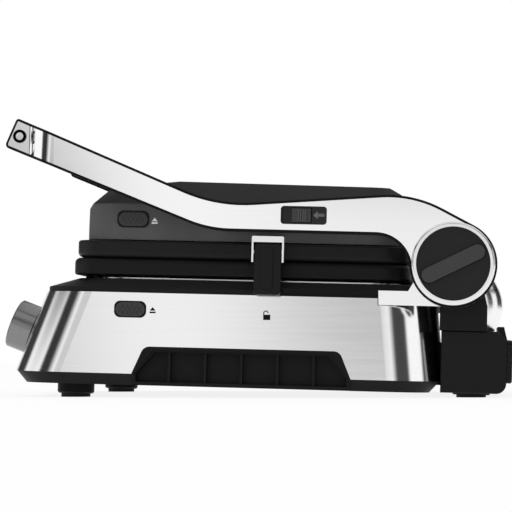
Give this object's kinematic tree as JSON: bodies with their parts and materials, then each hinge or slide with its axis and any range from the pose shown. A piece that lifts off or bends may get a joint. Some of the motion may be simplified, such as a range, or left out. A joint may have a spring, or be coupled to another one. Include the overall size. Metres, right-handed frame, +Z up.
{
  "type": "contact grill",
  "caption": "Folding contact grill with two cooking plates, a floating lid on side arms, a hinge knob, a side latch and a rear drip tray.",
  "frame": {"origin": "centre of the footprint at table level", "axes": "+Z up, +Y to the rear where the hinge is, -Y to the handle, +X to the side with the hinge knob"},
  "size_m": [0.3746, 0.4114, 0.2205],
  "materials": {
    "black_plastic": "fine satin texture",
    "grey_plastic": "satin",
    "gloss_black": "glossy",
    "brushed_steel": "brushed",
    "bright_steel": "polished",
    "dark_steel": "dull",
    "cast_plate": "black non-stick coating",
    "knob_metal": "turned and brushed",
    "rubber": "matt",
    "window_glass": "clear gloss over black"
  },
  "bodies": {
    "base": {"bottom_pan": "black_plastic", "base_housing": "black_plastic", "steel_wrap": "brushed_steel", "vent_grille_r": "black_plastic", "vent_grille_l": "black_plastic", "deck": "black_plastic", "heater_pan": "bright_steel", "lower_element": "dark_steel", "rear_housing": "gloss_black", "rear_cover": "brushed_steel", "tower_r": "black_plastic", "tower_l": "black_plastic", "hinge_shaft_r": "dark_steel", "hinge_shaft_l": "dark_steel", "hinge_bracket_r": "brushed_steel", "hinge_bracket_l": "brushed_steel", "knob_collar_r": "black_plastic", "knob_collar_l": "black_plastic", "display_bezel": "gloss_black", "display_window": "window_glass", "cord_gland": "rubber", "plate_rest_r": "black_plastic", "plate_rest_l": "black_plastic", "front_foot_r": "black_plastic", "front_foot_l": "black_plastic", "rear_foot_r": "black_plastic", "rear_foot_l": "black_plastic", "front_pad_r": "rubber", "front_pad_l": "rubber", "rear_pad_r": "rubber", "rear_pad_l": "rubber"},
    "arms": {"arm_core_r": "black_plastic", "arm_core_l": "black_plastic", "arm_skin_r": "brushed_steel", "arm_skin_l": "brushed_steel", "hub_cap_l": "black_plastic", "grip_bar": "grey_plastic", "grip_screw_r": "bright_steel", "grip_screw_l": "bright_steel", "switch_bezel": "gloss_black"},
    "lid": {"lid_shell": "grey_plastic", "lid_liner": "bright_steel", "upper_element": "dark_steel", "lid_pivot_r": "black_plastic", "lid_pivot_l": "black_plastic", "latch_bracket": "brushed_steel", "latch_pin": "bright_steel"},
    "upper_plate": {"upper_plate": "cast_plate"},
    "lower_plate": {"lower_plate": "cast_plate"},
    "drip_tray": {"drip_tray": "black_plastic", "tray_panel": "gloss_black"},
    "hinge_knob": {"knob_ring": "bright_steel", "knob_face": "black_plastic"},
    "slide_switch": {"slide_switch": "grey_plastic"},
    "latch_lever": {"latch_lever": "black_plastic"},
    "base_button": {"base_button": "grey_plastic"},
    "lid_button": {"lid_button": "grey_plastic"},
    "front_knob_r": {"front_knob_r": "knob_metal"},
    "front_knob_l": {"front_knob_l": "knob_metal"}
  },
  "joints": [
    {"name": "lid_open", "type": "hinge", "parent": "base", "child": "arms", "pos_m": [-0.0043, 0.15953, 0.10372], "axis": [-1, 0, 0], "range_deg": [0, 174]},
    {"name": "lid_level", "type": "hinge", "parent": "arms", "child": "lid", "pos_m": [-0.0043, -0.00754, 0.14185], "axis": [-1, 0, 0], "range_deg": [0, 6]},
    {"name": "upper_plate_release", "type": "slide", "parent": "lid", "child": "upper_plate", "axis": [0, -0.9997, 0.0258], "range_m": [0, 0.04]},
    {"name": "lower_plate_release", "type": "slide", "parent": "base", "child": "lower_plate", "axis": [0, -0.9997, 0.0258], "range_m": [0, 0.04]},
    {"name": "tray_slide", "type": "slide", "parent": "base", "child": "drip_tray", "axis": [0, 0.9997, -0.0258], "range_m": [0, 0.085]},
    {"name": "hinge_knob_turn", "type": "hinge", "parent": "arms", "child": "hinge_knob", "pos_m": [0.1807, 0.15953, 0.10372], "axis": [1, 0, 0], "range_deg": [-60, 90]},
    {"name": "hinge_release_slide", "type": "slide", "parent": "arms", "child": "slide_switch", "axis": [0, -0.9997, 0.0258], "range_m": [0, 0.007], "stiffness_N_per_m": 400},
    {"name": "latch_swing", "type": "hinge", "parent": "lid", "child": "latch_lever", "pos_m": [0.1683, 0.01514, 0.11385], "axis": [0, -0.9997, 0.0258], "range_deg": [0, 34]},
    {"name": "base_plate_button", "type": "slide", "parent": "base", "child": "base_button", "axis": [-1, 0, 0], "range_m": [0, 0.003], "stiffness_N_per_m": 600},
    {"name": "lid_plate_button", "type": "slide", "parent": "lid", "child": "lid_button", "axis": [-1, 0, 0], "range_m": [0, 0.003], "stiffness_N_per_m": 600},
    {"name": "front_knob_r_turn", "type": "hinge", "parent": "base", "child": "front_knob_r", "pos_m": [0.0937, -0.17956, 0.05236], "axis": [0, -0.9303, 0.3667], "range_deg": [-270, 0]},
    {"name": "front_knob_l_turn", "type": "hinge", "parent": "base", "child": "front_knob_l", "pos_m": [-0.1023, -0.17956, 0.05236], "axis": [0, -0.9303, 0.3667], "range_deg": [-270, 0]}
  ],
  "couplings": [
    {"joint": "lid_level", "follows": "lid_open", "ratio": 0.034483}
  ]
}
